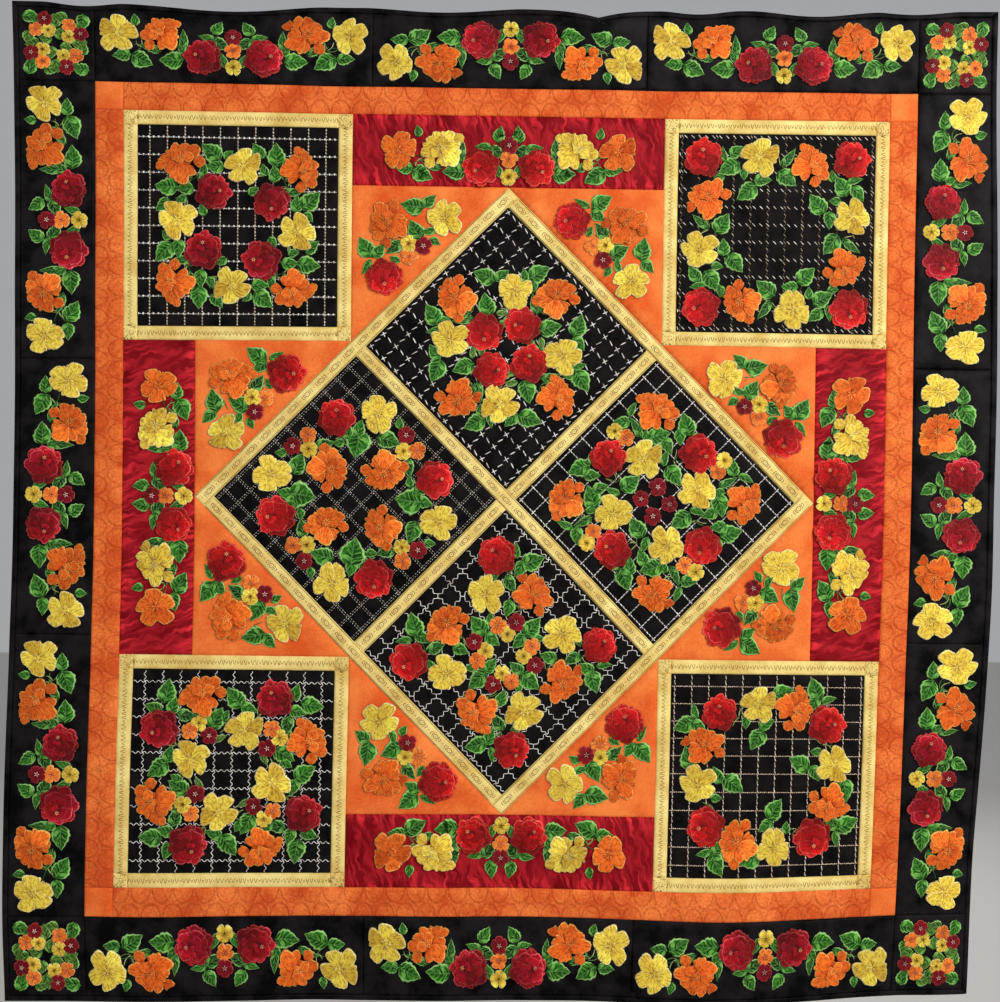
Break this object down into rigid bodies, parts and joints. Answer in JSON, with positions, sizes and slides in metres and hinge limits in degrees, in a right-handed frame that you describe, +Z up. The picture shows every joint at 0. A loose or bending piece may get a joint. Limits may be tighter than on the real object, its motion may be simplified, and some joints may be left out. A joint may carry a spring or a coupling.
{
  "type": "embroidered wall hanging",
  "caption": "Square quilted wall hanging with machine-embroidered flower garlands, wreaths and sprays on black, crimson and orange cloth, hung by its top edge.",
  "frame": {"origin": "middle of the top edge, on the mid-plane of the cloth", "axes": "+Z up, the embroidered front faces -Y, +X to the right seen from the front"},
  "size_m": [1.2257, 0.0209, 1.2462],
  "materials": {
    "black_satin": "woven satin with a soft sheen",
    "block_ground": "plain dark cotton with stitched grids",
    "orange_cotton": "matt quilting cotton",
    "crimson_satin": "puckered satin",
    "yellow_cotton": "matt cotton with brown stitching",
    "flower_thread": "glossy embroidery thread in yellow, orange and red",
    "leaf_thread": "glossy embroidery thread in greens",
    "stitch_thread": "cream and brown decorative stitching"
  },
  "bodies": {
    "root": {"binding_bottom": "black_satin", "binding_left": "black_satin", "binding_right": "black_satin", "binding_top": "black_satin", "block_bottom_left_frame": "yellow_cotton", "block_bottom_left_ground": "block_ground", "block_bottom_right_frame": "yellow_cotton", "block_bottom_right_ground": "block_ground", "block_top_left_frame": "yellow_cotton", "block_top_left_ground": "block_ground", "block_top_right_frame": "yellow_cotton", "block_top_right_ground": "block_ground", "border_bottom_1": "black_satin", "border_bottom_2": "black_satin", "border_bottom_3": "black_satin", "border_corner_bottom_left": "black_satin", "border_corner_bottom_right": "black_satin", "border_corner_top_left": "black_satin", "border_corner_top_right": "black_satin", "border_left_1": "black_satin", "border_left_2": "black_satin", "border_left_3": "black_satin", "border_right_1": "black_satin", "border_right_2": "black_satin", "border_right_3": "black_satin", "border_top_1": "black_satin", "border_top_2": "black_satin", "border_top_3": "black_satin", "crimson_bottom": "crimson_satin", "crimson_left": "crimson_satin", "crimson_right": "crimson_satin", "crimson_top": "crimson_satin", "diamond_bottom": "block_ground", "diamond_left": "block_ground", "diamond_right": "block_ground", "diamond_top": "block_ground", "orange_bottom": "orange_cotton", "orange_corner_bottom_left": "orange_cotton", "orange_corner_bottom_right": "orange_cotton", "orange_corner_top_left": "orange_cotton", "orange_corner_top_right": "orange_cotton", "orange_left": "orange_cotton", "orange_right": "orange_cotton", "orange_top": "orange_cotton", "sash_cross_long": "yellow_cotton", "sash_cross_lower": "yellow_cotton", "sash_cross_upper": "yellow_cotton", "sash_lower_left": "yellow_cotton", "sash_lower_right": "yellow_cotton", "sash_upper_left": "yellow_cotton", "sash_upper_right": "yellow_cotton", "triangle_bottom_1": "orange_cotton", "triangle_bottom_2": "orange_cotton", "triangle_left_1": "orange_cotton", "triangle_left_2": "orange_cotton", "triangle_right_1": "orange_cotton", "triangle_right_2": "orange_cotton", "triangle_top_1": "orange_cotton", "triangle_top_2": "orange_cotton"}
  },
  "joints": []
}
